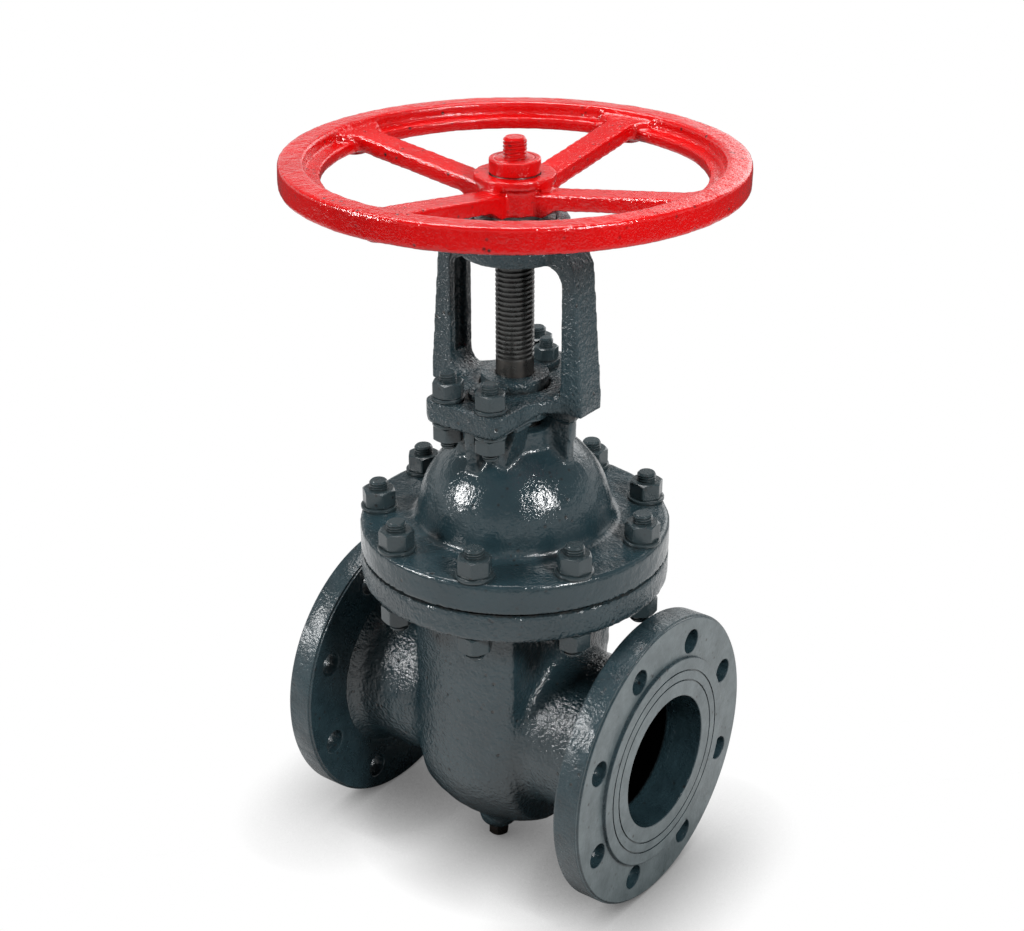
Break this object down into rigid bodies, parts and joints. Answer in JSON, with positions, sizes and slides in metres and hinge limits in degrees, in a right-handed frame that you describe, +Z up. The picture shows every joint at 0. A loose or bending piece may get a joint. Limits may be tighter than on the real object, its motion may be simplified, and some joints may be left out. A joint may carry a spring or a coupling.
{
  "type": "flanged gate valve with rising stem",
  "caption": "Cast steel gate valve with flanged ends, domed bonnet, bolted yoke, rising stem with wedge gate and a spoked handwheel that lifts it.",
  "frame": {"origin": "centre of the inlet flange's raised face, on the flow axis", "axes": "+X along the flow from inlet to outlet, +Z up along the stem, +Y across the flow"},
  "size_m": [0.315, 0.315, 0.5505],
  "materials": {
    "casting_paint": "glossy slate grey enamel over rough cast steel",
    "wheel_paint": "glossy bright red enamel over rough casting",
    "painted_fasteners": "slate grey enamel, thin and worn at the corners",
    "dark_steel": "blackened, oily and a little rusty",
    "stem_steel": "dark, oiled machined steel",
    "gate_steel": "ground faces on a dark casting",
    "seat_steel": "turned",
    "gland_steel": "painted, with grease and dirt",
    "gasket_graphite": "dark graphite"
  },
  "bodies": {
    "valve_frame": {"valve_body": "casting_paint", "inlet_end": "casting_paint", "outlet_end": "casting_paint", "inlet_seat_ring": "seat_steel", "outlet_seat_ring": "seat_steel", "drain_plug": "dark_steel", "bonnet_gasket": "gasket_graphite", "bonnet": "casting_paint", "bonnet_studs": "dark_steel", "bonnet_washers": "painted_fasteners", "bonnet_upper_nuts": "painted_fasteners", "bonnet_lower_nuts": "painted_fasteners", "packing": "gasket_graphite", "gland": "gland_steel", "gland_studs": "dark_steel", "gland_nuts": "painted_fasteners", "yoke": "casting_paint", "yoke_studs": "dark_steel", "yoke_washers": "painted_fasteners", "yoke_upper_nuts": "painted_fasteners", "yoke_lower_nuts": "painted_fasteners", "sleeve_ring": "casting_paint"},
    "wheel": {"handwheel": "wheel_paint", "hub_nut": "wheel_paint", "yoke_sleeve": "dark_steel"},
    "stem_and_gate": {"stem": "stem_steel", "wedge_gate": "gate_steel"}
  },
  "joints": [
    {"name": "wheel_turn", "type": "hinge", "parent": "valve_frame", "child": "wheel", "pos_m": [0.135, 0, 0.4], "axis": [0, 0, 1], "range_deg": [0, 10080]},
    {"name": "stem_lift", "type": "slide", "parent": "valve_frame", "child": "stem_and_gate", "axis": [0, 0, 1], "range_m": [0, 0.098]}
  ],
  "couplings": [
    {"joint": "stem_lift", "follows": "wheel_turn", "m_per_rad": 0.00055704}
  ]
}
